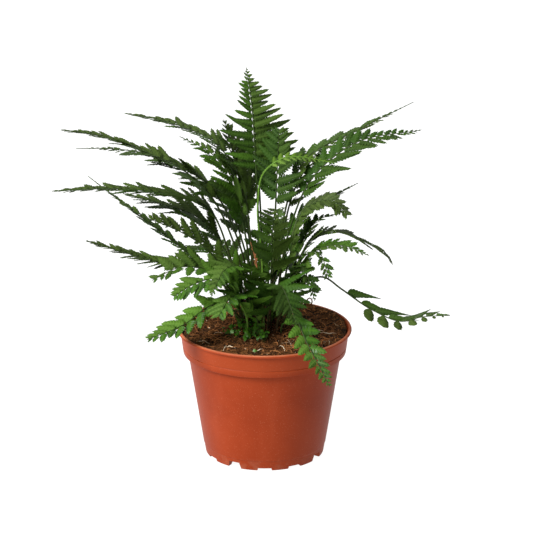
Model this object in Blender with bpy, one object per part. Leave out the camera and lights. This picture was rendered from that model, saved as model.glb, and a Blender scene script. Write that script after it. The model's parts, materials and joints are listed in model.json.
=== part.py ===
"""A Korean rock fern in its nursery pot.

Lengths are in millimetres, and add_node turns them into metres. The origin is on the ground under the
middle of the pot, +Z is up, and the side that the photograph shows faces -Y. A bearing is in degrees
round the pot's axis from +X, so 0 is the viewer's right and 90 is away from the viewer.
"""

import math
import random
from typing import NamedTuple

import bpy
from mathutils import Vector
from mathutils.bvhtree import BVHTree

MM = 0.001
SEED = 7

# Pot
POT_SIDES = 32
SHARP = 25.0
POT_HEIGHT = 116.0
LIP_RADIUS = 77.2
LIP_DEPTH = 2.6
LIP_ROUND = 1.0
LIP_WIDTH = 2.6
COLLAR_RADIUS = 74.8
COLLAR_FOOT_RADIUS = 72.3
COLLAR_FOOT_Z = 94.2
GROOVE_Z = 100.1
GROOVE = 0.5
SHOULDER_RADIUS = 68.2
BASE_RADIUS = 53.0
BASE_DRAFT = 1.5
STEP_Z = 9.0
STEP = 0.4
WALL = 1.8
FLOOR_UNDERSIDE_Z = 2.0
FLOOR_RADIUS = 49.5
FOOT_RING_RADIUS = 47.5
FOOT_DRAFT = 0.4
NOTCH_COUNT = 12
NOTCH_WIDTH = 13.0
NOTCH_TAPER = 1.6
NOTCH_DEPTH = 2.4
CUTTER_SPARE = 6.0
DRAIN_DEPTH = 5.8
DRAIN_REACH = 42.0
DRAIN_BEARINGS = (60, 150, 240, 330)

# Soil
GAP = 0.35
SOIL_EDGE_Z = 114.0
SOIL_MOUND = 5.0
SOIL_LUMP = 0.9
SOIL_RINGS = (57.0, 38.0, 15.0)
STEM_Z = 118.0
STEM_DEPTH = 9.0
STEM_STANDS = 4.0
HOLE_SIDES = 4
HOLE_RADIUS = 1.75

# Fronds
STEM_RADIUS = 1.05
RIB_RADIUS = 0.7
TIP_RADIUS = 0.35
LEAFLET_HALF = 0.55
STEM_BANDS = 4
TUBE_STEPS = 40
TIP_LEAN = 0.33
OFF_RIB = 0.85
HOOK = 0.10
DROOP = 0.08
LEAN_VARIES = 5.0
LIFT_VARIES = 6.0
DROOP_VARIES = 0.05
LENGTH_VARIES = 0.07
WIDEST = 0.24
FIRST_LENGTH = 0.72
TIP_CROWDING = 1.25
LARGE_SHARE = 0.34
SMALL_SHARE = 0.36
TIP_ROOM = 0.6
TESTED_LENGTH = 1.04
TESTED_WIDTH = 1.1
TESTED_MIDDLE = 0.4
CLEARANCE = 1.3


class Frond(NamedTuple):
    """One frond. Its route starts at its foot and runs along its heading."""

    name: str  # its node is frond_ and this
    foot: tuple  # distance from the pot's axis and bearing
    heading: float  # bearing in which it grows
    route: tuple  # (distance from the foot, height) of the points that its rib passes through
    bare: float  # share of its length below the first leaflets
    reach: float  # longest leaflet
    pairs: int
    roll: float = 0.0  # degrees by which its left side, seen from the foot, is turned up
    lift: float = 8.0  # degrees by which the leaflets rise from the blade
    taper: float = 0.75  # 1 for a blade that narrows evenly to its tip, and less for a blunter one
    sides: tuple = (1.0, 1.0)  # length of the left and of the right leaflets against the reach
    leans: tuple = (72.0, 72.0)  # degrees between the rib and the left and right leaflets


FRONDS = (
    Frond(
        "top", (4, 115), 115, ((8, 200), (15, 264), (24, 316), (34, 343)), 0.62, 40, 16, taper=0.85,
        sides=(0.92, 0.88), leans=(82, 82)
    ),
    Frond("top_right", (8, 45), 60, ((6, 190), (9, 240), (12, 270), (14, 292)), 0.66, 31, 8, taper=0.5),
    Frond("top_left", (9, 150), 145, ((8, 200), (18, 248), (27, 278), (34, 299)), 0.58, 34, 10),
    Frond(
        "high_right", (12, 5), 10, ((10, 205), (30, 251), (66, 280), (127, 290)), 0.50, 29, 14, 30,
        sides=(0.65, 1.0), leans=(55, 50)
    ),
    Frond(
        "high_back_right", (9, 30), 27, ((8, 206), (30, 263), (84, 285), (140, 304)), 0.50, 20, 11,
        taper=1.0, leans=(40, 45)
    ),
    Frond(
        "high_left", (12, 178), 175, ((14, 203), (38, 247), (80, 269), (122, 285), (146, 290), (166, 292)),
        0.46, 30, 16, 5, taper=0.6, sides=(1.1, 0.9), leans=(60, 60)
    ),
    Frond(
        "high_front_left", (15, 196), 188, ((11, 190), (38, 246), (76, 275), (112, 284), (148, 286)), 0.46,
        33, 12, -2, taper=1.05, sides=(1.2, 0.7), leans=(65, 60)
    ),
    Frond(
        "high_back_left", (9, 165), 157, ((5, 205), (15, 254), (38, 280), (76, 293), (125, 298)), 0.46, 23,
        13, 6, taper=0.55, leans=(55, 55)
    ),
    Frond(
        "inner_left", (12, 160), 163, ((7, 205), (18, 250), (37, 271), (66, 284)), 0.40, 30, 10, -25,
        taper=1.0, sides=(1.2, 0.8), leans=(58, 60)
    ),
    Frond(
        "mid_left", (18, 182), 181, ((12, 180), (34, 228), (74, 240), (116, 244), (167, 242)), 0.40, 32, 16,
        4, taper=0.65, sides=(1.1, 0.9), leans=(60, 60)
    ),
    Frond(
        "mid_back_left", (17, 167), 166, ((13, 172), (42, 212), (78, 223), (112, 230)), 0.40, 34, 12, 0, 0,
        leans=(45, 50)
    ),
    Frond(
        "slant_left", (21, 170), 163, ((15, 150), (38, 170), (76, 197), (108, 218), (143, 242)), 0.36, 17,
        12, 10, leans=(50, 55)
    ),
    Frond(
        "low_left", (21, 192), 191, ((14, 155), (41, 178), (75, 183), (104, 193), (136, 205)), 0.40, 24, 12,
        -4, 6, taper=0.6, leans=(55, 60)
    ),
    Frond(
        "front_left", (17, 214), 212, ((16, 160), (44, 200), (70, 219), (100, 235)), 0.36, 22, 8, -50,
        taper=0.4, sides=(0.3, 1.0), leans=(60, 60)
    ),
    Frond(
        "low_front_left", (22, 208), 206, ((12, 155), (32, 176), (60, 183), (86, 175)), 0.18, 28, 9, -20,
        taper=0.35
    ),
    Frond(
        "curled_left", (21, 226), 220, ((9, 148), (22, 167), (40, 174), (62, 173), (82, 167)), 0.14, 31, 11,
        -25, taper=0.5, leans=(58, 62)
    ),
    Frond(
        "rim_left", (25, 216), 215, ((9, 138), (28, 147), (61, 135), (98, 129)), 0.30, 21, 8, -10,
        taper=0.45, leans=(62, 62)
    ),
    Frond(
        "arched_right", (17, 356), 355, ((9, 168), (25, 198), (40, 206), (67, 199), (87, 189), (95, 179)),
        0.30, 25, 12, -4, 0, taper=0.5, sides=(0.8, 1.2), leans=(58, 58)
    ),
    Frond(
        "bent_right", (14, 338), 335, ((9, 180), (27, 232), (50, 240), (64, 229)), 0.52, 15, 10, 30, -6,
        taper=0.3
    ),
    Frond(
        "far_right", (14, 38), 36, ((9, 180), (30, 213), (58, 222), (90, 231)), 0.48, 20, 10, -8, taper=0.9,
        leans=(45, 55)
    ),
    Frond("small_right", (20, 330), 331, ((7, 160), (28, 193), (54, 203), (82, 198)), 0.20, 26, 11, 12),
    Frond(
        "hanging_right", (24, 327), 318, ((7, 160), (22, 192), (35, 197), (47, 176)), 0.32, 13, 10, 32,
        taper=0.3
    ),
    Frond(
        "low_right", (22, 352), 350,
        ((10, 157), (30, 165), (46, 155), (74, 137), (101, 128), (117, 133), (142, 136)), 0.45, 38, 9, 40,
        sides=(1.0, 0.42), leans=(26, 75)
    ),
    Frond(
        "rim_front", (24, 297), 298, ((7, 139), (20, 147), (56, 124), (94, 99)), 0.44, 15, 9, 5, taper=0.5
    ),
    Frond("front", (21, 250), 236, ((7, 142), (20, 158), (38, 161), (58, 149)), 0.26, 27, 8, taper=0.4),
    Frond(
        "front_middle", (23, 276), 300, ((4, 146), (12, 165), (24, 168), (38, 156), (50, 141)), 0.26, 36, 10
    ),
    Frond(
        "front_right", (23, 314), 309, ((6, 150), (14, 176), (24, 184), (34, 175), (43, 157)), 0.24, 31, 9,
        10, sides=(1.0, 0.6)
    ),
    Frond(
        "over_front_left", (15, 240), 238, ((12, 160), (28, 183), (50, 187), (72, 169)), 0.20, 30, 11, -6
    ),
    Frond("over_front", (14, 290), 277, ((9, 180), (20, 222), (40, 240), (64, 235)), 0.20, 28, 12),
    Frond("young", (25, 268), 2, ((-2, 195), (-5, 236), (1, 266), (14, 276), (62, 273)), 0.74, 8, 8, 30),
    Frond(
        "back_right", (13, 60), 50, ((12, 184), (34, 236), (58, 256), (80, 266)), 0.60, 24, 9, -10,
        sides=(0.5, 1.0)
    ),
    Frond("back", (12, 95), 98, ((12, 189), (34, 243), (62, 263), (92, 265)), 0.68, 26, 9),
    Frond("back_left", (15, 128), 132, ((12, 179), (36, 217), (72, 233), (104, 227)), 0.36, 27, 11, 10),
    Frond("low_back", (21, 84), 82, ((9, 150), (22, 182), (50, 192), (88, 174)), 0.28, 26, 10),
    Frond("low_back_left", (22, 132), 130, ((9, 148), (28, 170), (70, 168), (108, 148)), 0.30, 28, 10),
    Frond("low_back_right", (22, 42), 15, ((8, 156), (18, 190), (32, 208), (50, 212)), 0.34, 24, 8),
)
WITHERED = Frond("withered", (10, 255), 195, ((2, 150), (4, 172), (7, 188), (10, 198)), 0.72, 8, 4)


def material(name, colour, roughness):
    made = bpy.data.materials.new(name)
    made.use_nodes = True
    shader = made.node_tree.nodes["Principled BSDF"]
    shader.inputs["Base Color"].default_value = (*colour, 1.0)
    shader.inputs["Roughness"].default_value = roughness
    made.diffuse_color = (*colour, 1.0)
    return made


def add_node(name, points, faces, slot):
    """An object made of points in millimetres."""
    mesh = bpy.data.meshes.new(name)
    mesh.from_pydata([tuple(MM * c for c in p) for p in points], [], faces)
    mesh.materials.append(slot)
    made = bpy.data.objects.new(name, mesh)
    bpy.context.scene.collection.objects.link(made)
    return made


def cut(body, cutters):
    """Takes the cutters away from the body and removes them."""
    modifier = body.modifiers.new("cut", "BOOLEAN")
    modifier.operation = "DIFFERENCE"
    modifier.solver = "EXACT"
    modifier.operand_type = "COLLECTION"
    modifier.collection = bpy.data.collections.new("cutters")
    for cutter in cutters:
        modifier.collection.objects.link(cutter)
    graph = bpy.context.evaluated_depsgraph_get()
    mesh = bpy.data.meshes.new_from_object(body.evaluated_get(graph))
    used = modifier.collection
    body.modifiers.clear()
    body.data = mesh
    for cutter in cutters:
        bpy.data.objects.remove(cutter)
    bpy.data.collections.remove(used)


def polar(radius, degrees, z=0.0):
    turn = math.radians(degrees)
    return Vector((radius * math.cos(turn), radius * math.sin(turn), z))


def turned(profile):
    """Points and faces of a closed profile turned about the axis. Its ends lie on the axis."""
    (_, first_z), *rings, (_, last_z) = profile
    points = [polar(r, 360 * i / POT_SIDES, z) for r, z in rings for i in range(POT_SIDES)]
    faces = []
    for ring in range(len(rings) - 1):
        for i in range(POT_SIDES):
            j = (i + 1) % POT_SIDES
            low = ring * POT_SIDES
            faces.append((low + i, low + j, low + POT_SIDES + j, low + POT_SIDES + i))
    last = (len(rings) - 1) * POT_SIDES
    points += [Vector((0, 0, first_z)), Vector((0, 0, last_z))]
    for i in range(POT_SIDES):
        j = (i + 1) % POT_SIDES
        faces.append((len(points) - 2, j, i))
        faces.append((len(points) - 1, last + i, last + j))
    return points, faces


def inner_profile(inset):
    """The inside of the pot, from its floor to its mouth, or the soil's side, inset that far."""
    floor_z = FLOOR_UNDERSIDE_Z + WALL + inset
    return [
        (0, floor_z),
        (FLOOR_RADIUS - inset, floor_z),
        (SHOULDER_RADIUS - WALL - inset, COLLAR_FOOT_Z - LIP_ROUND + inset),
        (COLLAR_FOOT_RADIUS - WALL - inset, COLLAR_FOOT_Z + WALL + inset),
        (COLLAR_RADIUS - WALL - inset, POT_HEIGHT - LIP_DEPTH - LIP_ROUND),
    ]


def pot_profile():
    slope = (COLLAR_RADIUS - COLLAR_FOOT_RADIUS) / (POT_HEIGHT - LIP_DEPTH - COLLAR_FOOT_Z)
    groove_radius = COLLAR_FOOT_RADIUS + slope * (GROOVE_Z - COLLAR_FOOT_Z)
    lip_z = POT_HEIGHT - LIP_DEPTH
    outside = [
        (0, FLOOR_UNDERSIDE_Z),
        (FOOT_RING_RADIUS, FLOOR_UNDERSIDE_Z),
        (FOOT_RING_RADIUS + FOOT_DRAFT, 0),
        (BASE_RADIUS, 0),
        (BASE_RADIUS + BASE_DRAFT, STEP_Z),
        (BASE_RADIUS + BASE_DRAFT + STEP, STEP_Z + STEP),
        (SHOULDER_RADIUS, COLLAR_FOOT_Z),
        (COLLAR_FOOT_RADIUS, COLLAR_FOOT_Z),
        (groove_radius, GROOVE_Z - GROOVE),
        (groove_radius - GROOVE, GROOVE_Z),
        (groove_radius + slope, GROOVE_Z + GROOVE),
        (COLLAR_RADIUS, lip_z),
        (LIP_RADIUS, lip_z + STEP),
        (LIP_RADIUS, POT_HEIGHT - LIP_ROUND),
        (LIP_RADIUS - LIP_ROUND, POT_HEIGHT),
        (LIP_RADIUS - LIP_WIDTH, POT_HEIGHT),
    ]
    return outside + inner_profile(0)[::-1]


def notch_cutter(bearing, depth, reach):
    """A wedge with sloping sides, standing across the foot ring."""
    along, across = polar(1, bearing), polar(1, bearing + 90)
    corners = []
    low = -CUTTER_SPARE
    for distance in (reach, BASE_RADIUS + CUTTER_SPARE):
        for side, z in ((-1, low), (1, low), (1, depth), (-1, depth)):
            half = NOTCH_WIDTH / 2 - NOTCH_TAPER * z / DRAIN_DEPTH
            corners.append(along * distance + across * side * half + Vector((0, 0, z)))
    faces = [(0, 1, 2, 3), (7, 6, 5, 4), (0, 4, 5, 1), (1, 5, 6, 2), (2, 6, 7, 3), (3, 7, 4, 0)]
    return add_node("notch", corners, [face[::-1] for face in faces], None)


def pot(slot):
    body = add_node("pot", *turned(pot_profile()), slot)
    cutters = []
    for i in range(NOTCH_COUNT):
        bearing = 360 * i / NOTCH_COUNT
        if bearing in DRAIN_BEARINGS:
            cutters.append(notch_cutter(bearing, DRAIN_DEPTH, DRAIN_REACH))
        else:
            cutters.append(notch_cutter(bearing, NOTCH_DEPTH, FOOT_RING_RADIUS - STEP))
    cut(body, cutters)
    body.data.shade_smooth()
    body.data.set_sharp_from_angle(angle=math.radians(SHARP))


def soil_height(radius, draw):
    share = radius / SOIL_RINGS[0]
    mound = SOIL_MOUND * max(0.0, 1 - share * share)
    return SOIL_EDGE_Z + mound + draw.uniform(-SOIL_LUMP, SOIL_LUMP)


def soil_shape():
    """The potting soil's points and faces, before its holes are cut."""
    draw = random.Random(SEED)
    sides = inner_profile(GAP)
    top_radius = sides[-1][0]
    rings = sides[:-1] + [(top_radius, SOIL_EDGE_Z)]
    rings += [(radius, SOIL_EDGE_Z) for radius in SOIL_RINGS]
    points, faces = turned(rings + [(0, SOIL_EDGE_Z + SOIL_MOUND)])
    for point in points:
        if point.z == SOIL_EDGE_Z and point.xy.length < top_radius - 1:
            point.z = soil_height(point.xy.length, draw)
    return points, faces


def hole_cutter(frond):
    """A plain upright hole for the stem of a frond."""
    foot = polar(*frond.foot)
    low, high = STEM_Z - STEM_DEPTH - GAP, STEM_Z + CUTTER_SPARE
    points = [
        foot + polar(HOLE_RADIUS, 360 * i / HOLE_SIDES + frond.heading, z)
        for z in (low, high)
        for i in range(HOLE_SIDES)
    ]
    faces = [tuple(range(HOLE_SIDES))[::-1], tuple(range(HOLE_SIDES, 2 * HOLE_SIDES))]
    for i in range(HOLE_SIDES):
        j = (i + 1) % HOLE_SIDES
        faces.append((i, j, HOLE_SIDES + j, HOLE_SIDES + i))
    return add_node("hole", points, faces, None)


def soil(slot):
    body = add_node("soil", *soil_shape(), slot)
    cut(body, [hole_cutter(frond) for frond in (*FRONDS, WITHERED)])


class Rib:
    """The smooth curve of a frond's stem and rib, with its own directions at each distance."""

    SPAN_STEPS = 12

    def __init__(self, frond):
        self.frond = frond
        self.ahead = polar(1, frond.heading)
        self.left = polar(1, frond.heading + 90)
        route = [(0, STEM_Z - STEM_DEPTH), (0, STEM_Z + STEM_STANDS), *frond.route]
        knots = [Vector((distance, z)) for distance, z in route]
        self.flat = self.curve(knots)
        self.lengths = [0.0]
        for a, b in zip(self.flat, self.flat[1:]):
            self.lengths.append(self.lengths[-1] + (b - a).length)
        self.length = self.lengths[-1]

    def curve(self, knots):
        spans = [(b - a).length for a, b in zip(knots, knots[1:])]
        chords = [(b - a) / span for a, b, span in zip(knots, knots[1:], spans)]
        slopes = [chords[0], chords[0]]
        for i in range(2, len(knots) - 1):
            slopes.append((chords[i - 1] * spans[i] + chords[i] * spans[i - 1]) / (spans[i - 1] + spans[i]))
        slopes.append(chords[-1])
        points = []
        for i, span in enumerate(spans):
            for step in range(self.SPAN_STEPS):
                t = step / self.SPAN_STEPS
                points.append(
                    knots[i] * (1 + 2 * t) * (1 - t) ** 2
                    + slopes[i] * (span * t * (1 - t) ** 2)
                    + knots[i + 1] * t * t * (3 - 2 * t)
                    + slopes[i + 1] * (span * t * t * (t - 1))
                )
        return [*points, knots[-1]]

    def point(self, distance):
        distance = min(max(distance, 0.0), self.length)
        i = next(i for i, length in enumerate(self.lengths[1:]) if length >= distance - 1e-6)
        share = (distance - self.lengths[i]) / (self.lengths[i + 1] - self.lengths[i])
        flat = self.flat[i].lerp(self.flat[i + 1], share)
        return polar(*self.frond.foot) + self.ahead * flat.x + Vector((0, 0, flat.y))

    def station(self, distance):
        """Point, direction towards the tip, direction to the left and upper side."""
        step = 0.5
        back, front = self.point(distance - step), self.point(distance + step)
        ahead = (front - back).normalized()
        up = ahead.cross(self.left).normalized()
        left = up.cross(ahead)
        roll = math.radians(self.frond.roll)
        rolled = left * math.cos(roll) + up * math.sin(roll)
        return self.point(distance), ahead, rolled, ahead.cross(rolled)

    def radius(self, distance):
        share = distance / self.length
        if share < self.frond.bare:
            return STEM_RADIUS + (RIB_RADIUS - STEM_RADIUS) * share / self.frond.bare
        return RIB_RADIUS + (TIP_RADIUS - RIB_RADIUS) * (share - self.frond.bare) / (1 - self.frond.bare)


class Sheet:
    """A surface that has the same triangles above and below, apart where it has a thickness."""

    def __init__(self):
        self.points, self.halves, self.faces = [], [], []

    def point(self, place, half=None):
        self.points.append(place)
        self.halves.append(half)
        return len(self.points) - 1

    def face(self, a, b, c, turned_over):
        self.faces.append((a, c, b) if turned_over else (a, b, c))

    def solid(self, foot):
        """Points and faces of the closed body. Its foot is (left, middle, right)."""
        points, below = [], []
        for place, half in zip(self.points, self.halves):
            points.append(place + half if half else place)
        for i, half in enumerate(self.halves):
            below.append(len(points) if half else i)
            if half:
                points.append(self.points[i] - half)
        left, middle, right = foot
        faces = self.faces + [tuple(below[i] for i in face[::-1]) for face in self.faces]
        faces += [(right, middle, left), (left, below[middle], right)]
        return points, faces


# Edges of a leaflet from its root to its tip, as (share of length, share of the room along the rib).
# The first of each pair faces the frond's tip and has the ear at its root.
LARGE = (
    ((0.12, 0.55), (0.30, 0.37), (0.46, 0.46), (0.73, 0.23)),
    ((0.15, -0.40), (0.32, -0.29), (0.50, -0.37), (0.75, -0.19)),
)
SMALL = (((0.16, 0.52), (0.62, 0.30)), ((0.20, -0.38), (0.65, -0.25)))
TOOTH = ((), ())
BENDS = (0, 14, -14, 28, -28, 42, -42, 56, -56)
LENGTHS = (1.0, 0.8, 0.6, 0.42, 0.26)


class Leaflet:
    """A toothed blade on one side of a rib, between two stations."""

    def __init__(self, rib, start, end, side, edges, draw):
        self.side, self.edges = side, edges
        distance = (start + end) / 2
        middle, self.ahead, left, self.up = rib.station(distance)
        self.out = left * side
        self.root = middle + self.out * rib.radius(distance)
        self.room = end - start
        self.lift = rib.frond.lift + draw.uniform(-LIFT_VARIES, LIFT_VARIES)
        self.droop = DROOP + draw.uniform(-DROOP_VARIES, DROOP_VARIES)
        share = (distance / rib.length - rib.frond.bare) / (1 - rib.frond.bare)
        lean = rib.frond.leans[side < 0] * (1 - TIP_LEAN * share)
        self.lean = math.radians(lean + draw.uniform(-LEAN_VARIES, LEAN_VARIES))
        varied = draw.uniform(1 - LENGTH_VARIES, 1 + LENGTH_VARIES)
        self.full = rib.frond.reach * rib.frond.sides[side < 0] * outline(share, rib.frond.taper) * varied

    def bend(self, degrees, share):
        """Turns the leaflet up by that angle and gives it that share of its full length."""
        lift = math.radians(self.lift + degrees)
        out = self.out * math.cos(lift) + self.up * math.sin(lift)
        self.axis = self.ahead * math.cos(self.lean) + out * math.sin(self.lean)
        self.across = (self.ahead - self.axis * self.ahead.dot(self.axis)).normalized()
        self.normal = self.across.cross(self.axis) * self.side
        self.length = self.full * share

    def place(self, share, width):
        """A point on the blade. None is so far to the side that it lies across the rib."""
        along = self.axis * (share * self.length)
        aside = min(width * self.room, OFF_RIB * share * self.length * math.tan(self.lean))
        hooked = self.ahead * (HOOK * share * share * self.length)
        sunk = self.normal * (self.droop * share * share * self.length)
        return self.root + along + self.across * aside + hooked - sunk

    def spread(self, offset):
        """The blade moved along its normal, a little wider than it is, to test what it would touch."""
        chains = [[(0.0, side * 0.5), *edge, (TESTED_LENGTH, 0.0)] for side, edge in zip((1, -1), self.edges)]
        ring = chains[0] + chains[1][-2::-1]
        points = [self.place(share, TESTED_WIDTH * width) + self.normal * offset for share, width in ring]
        points.append(self.place(TESTED_MIDDLE, 0) + self.normal * offset)
        middle = len(points) - 1
        return points, [(i, i + 1, middle) for i in range(middle - 1)] + [(middle - 1, 0, middle)]

    def touches(self, trees):
        points, faces = [], []
        for offset in (-CLEARANCE, -CLEARANCE / 2, 0, CLEARANCE / 2, CLEARANCE):
            more, triangles = self.spread(offset)
            faces += [tuple(i + len(points) for i in face) for face in triangles]
            points += more
        mine = BVHTree.FromPolygons(points, faces)
        return any(mine.overlap(tree) for tree in trees)

    def settle(self, trees):
        """Bends the leaflet clear of what is already there, or shortens it where no bend is enough."""
        for share in LENGTHS:
            for degrees in BENDS:
                self.bend(degrees, share)
                if not self.touches(trees):
                    return
        self.bend(0, LENGTHS[-1] / 2)


def outline(share, taper):
    """Length of the leaflets along the blade as a share of the longest."""
    if share < WIDEST:
        return FIRST_LENGTH + (1 - FIRST_LENGTH) * math.sin(math.pi / 2 * share / WIDEST)
    return ((1 - share) / (1 - WIDEST)) ** taper


def stations(rib):
    """Distances of the stem's sections, and of the gaps between leaflets, closer towards the tip."""
    frond = rib.frond
    start = frond.bare * rib.length
    stands = STEM_DEPTH + STEM_STANDS
    stem = [0.0, stands] + [stands + (start - stands) * i / STEM_BANDS for i in range(1, STEM_BANDS)]
    blade = rib.length - start
    shares = [1 - (1 - i / (frond.pairs + TIP_ROOM)) ** TIP_CROWDING for i in range(frond.pairs + 1)]
    return stem, [start + blade * share for share in shares]


def leaflets_of(rib, draw):
    _, gaps = stations(rib)
    large = round(LARGE_SHARE * rib.frond.pairs)
    small = round(SMALL_SHARE * rib.frond.pairs)
    rows = []
    for i, (start, end) in enumerate(zip(gaps, gaps[1:])):
        edges = LARGE if i < large else SMALL if i < large + small else TOOTH
        rows.append([Leaflet(rib, start, end, side, edges, draw) for side in (1, -1)])
    return rows


def stem_tree(rib):
    """The stem and rib as a square tube, for the leaflets of other fronds to keep clear of."""
    points, faces = [], []
    for i in range(TUBE_STEPS + 1):
        distance = rib.length * i / TUBE_STEPS
        place, _, left, up = rib.station(distance)
        radius = rib.radius(distance)
        points += [place + left * radius, place + up * radius, place - left * radius, place - up * radius]
    for i in range(TUBE_STEPS):
        for j in range(4):
            k = (j + 1) % 4
            faces += [(4 * i + j, 4 * i + k, 4 * i + 4 + k), (4 * i + j, 4 * i + 4 + k, 4 * i + 4 + j)]
    return BVHTree.FromPolygons(points, faces)


def leaflet_tree(rows):
    points, faces = [], []
    for leaflet in (leaflet for row in rows for leaflet in row):
        more, triangles = leaflet.spread(0)
        faces += [tuple(i + len(points) for i in face) for face in triangles]
        points += more
    return BVHTree.FromPolygons(points, faces)


def grow(fronds):
    """The rib and the rows of leaflets of each frond, the leaflets bent clear of one another."""
    ribs = [Rib(frond) for frond in fronds]
    rows = [leaflets_of(rib, random.Random(SEED + i)) for i, rib in enumerate(ribs)]
    stems = [stem_tree(rib) for rib in ribs]
    still = [BVHTree.FromPolygons(*turned(pot_profile())), BVHTree.FromPolygons(*soil_shape())]
    blades = []
    for i in range(len(ribs)):
        trees = still + stems[:i] + stems[i + 1 :] + blades
        for row in rows[i]:
            for leaflet in row:
                leaflet.settle(trees)
        blades.append(leaflet_tree(rows[i]))
    return list(zip(ribs, rows))


def add_leaflet(sheet, leaflet, low, high):
    """Joins a leaflet to the rib between two gaps. Each gap is (edge point, middle point) of the rib."""
    over = leaflet.side < 0
    tip = sheet.point(leaflet.place(1, 0))
    root = tip
    if leaflet.edges is not TOOTH:
        root = sheet.point(leaflet.root, leaflet.normal * LEAFLET_HALF)
        for gap, edge, turn in ((high, leaflet.edges[0], over), (low, leaflet.edges[1], not over)):
            chain = [gap[0], *(sheet.point(leaflet.place(u, w)) for u, w in edge), tip]
            for a, b in zip(chain, chain[1:]):
                sheet.face(root, a, b, turn)
    sheet.face(low[1], high[1], root, over)
    sheet.face(high[1], high[0], root, over)
    sheet.face(low[1], root, low[0], over)


def frond_solid(rib, rows):
    sheet = Sheet()
    stem, gaps = stations(rib)
    sections = []
    for distance in stem + gaps:
        place, _, left, up = rib.station(distance)
        radius = rib.radius(distance)
        middle = sheet.point(place, up * radius)
        sections.append({s: (sheet.point(place + left * s * radius), middle) for s in (1, -1)})
    for low, high in zip(sections[: len(stem)], sections[1:]):
        for side in (1, -1):
            sheet.face(low[side][1], high[side][1], high[side][0], side < 0)
            sheet.face(low[side][1], high[side][0], low[side][0], side < 0)
    for row, low, high in zip(rows, sections[len(stem) :], sections[len(stem) + 1 :]):
        for leaflet in row:
            add_leaflet(sheet, leaflet, low[leaflet.side], high[leaflet.side])
    tip = sheet.point(rib.point(rib.length))
    for side in (1, -1):
        sheet.face(sections[-1][side][1], tip, sections[-1][side][0], side < 0)
    foot = (sections[0][1][0], sections[0][1][1], sections[0][-1][0])
    return sheet.solid(foot)


def main():
    for old in list(bpy.data.objects):
        bpy.data.objects.remove(old)
    pot(material("terracotta_plastic", (0.46, 0.10, 0.045), 0.45))
    soil(material("potting_soil", (0.045, 0.022, 0.014), 0.95))
    leaf = material("fern_leaf", (0.035, 0.11, 0.02), 0.4)
    withered = material("withered_leaf", (0.42, 0.13, 0.05), 0.7)
    for rib, rows in grow((*FRONDS, WITHERED)):
        slot = withered if rib.frond is WITHERED else leaf
        add_node("frond_" + rib.frond.name, *frond_solid(rib, rows), slot)


main()
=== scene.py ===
"""The finish of a potted Korean rock fern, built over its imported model.

Lengths are in millimetres, and turn into metres where a mesh is made or the camera is placed. Only the
floor's reach and what the finishes use are given in metres. The fronds grow by the rule of the part's
source, with more leaflets and finer teeth. A bearing is in degrees round the pot's axis from +X, so 0
is the viewer's right and 90 is away from the viewer.
"""

import functools
import json
import math
import random
from typing import NamedTuple

import bpy
import numpy as np
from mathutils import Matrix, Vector, noise
from mathutils.bvhtree import BVHTree

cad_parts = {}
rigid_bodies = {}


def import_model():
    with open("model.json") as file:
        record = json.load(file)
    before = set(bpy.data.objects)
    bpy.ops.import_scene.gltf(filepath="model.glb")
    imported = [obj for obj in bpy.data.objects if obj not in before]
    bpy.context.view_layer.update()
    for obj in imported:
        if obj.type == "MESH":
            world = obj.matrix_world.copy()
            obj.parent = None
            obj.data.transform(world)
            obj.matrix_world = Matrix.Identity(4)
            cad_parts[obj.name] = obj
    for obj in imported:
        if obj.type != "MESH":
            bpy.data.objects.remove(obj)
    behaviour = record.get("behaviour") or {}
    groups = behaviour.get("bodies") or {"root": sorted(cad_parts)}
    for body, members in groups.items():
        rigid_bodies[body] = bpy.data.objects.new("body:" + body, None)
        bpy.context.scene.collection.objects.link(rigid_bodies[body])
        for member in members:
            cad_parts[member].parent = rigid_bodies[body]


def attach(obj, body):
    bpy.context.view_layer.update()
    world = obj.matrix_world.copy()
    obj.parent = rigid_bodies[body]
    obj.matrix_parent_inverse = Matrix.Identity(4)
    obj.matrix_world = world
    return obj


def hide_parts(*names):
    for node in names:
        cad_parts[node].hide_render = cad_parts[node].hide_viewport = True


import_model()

MM = 0.001
SEED = 7

# Camera and light
PHOTO_PIXELS = 533
MM_PER_PIXEL = 0.88
CAMERA_DISTANCE = 2000.0
CAMERA_ELEVATION = 17.9
AIM_HEIGHT = 172.0
AXIS_PIXEL = 264.7
SENSOR = 36.0
WORLD_STRENGTH = 0.06
FLOOR_REACH = 30.0  # in metres
FLOOR_GLOW = 0.96
LIGHTS = (  # name, strength, spread, height and bearing in degrees
    ("key", 4.8, 30, 40, 218),
    ("front", 1.3, 60, 15, 230),
    ("top", 1.5, 70, 60, 65),
)

# Pot
TURNED_SIDES = 192
POT_HEIGHT = 116.0
LIP_RADIUS = 77.2
LIP_DEPTH = 2.6
LIP_ROUND = 1.0
LIP_WIDTH = 2.6
CORNER_ROUND = 0.55
CORNER_STEPS = 4
SHARP_CORNER = 30
COLLAR_RADIUS = 74.8
COLLAR_FOOT_RADIUS = 72.3
COLLAR_FOOT_Z = 94.2
GROOVE_Z = 100.1
GROOVE = 0.5
SHOULDER_RADIUS = 68.2
BASE_RADIUS = 53.0
BASE_DRAFT = 1.5
STEP_Z = 9.0
STEP = 0.4
WALL = 1.8
FLOOR_UNDERSIDE_Z = 2.0
FLOOR_RADIUS = 49.5
FOOT_RING_RADIUS = 47.5
FOOT_DRAFT = 0.4
NOTCH_COUNT = 12
NOTCH_WIDTH = 13.0
NOTCH_TAPER = 1.6
NOTCH_DEPTH = 2.4
CUTTER_SPARE = 6.0
DRAIN_DEPTH = 5.8
DRAIN_REACH = 42.0
DRAIN_BEARINGS = (60, 150, 240, 330)

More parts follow.
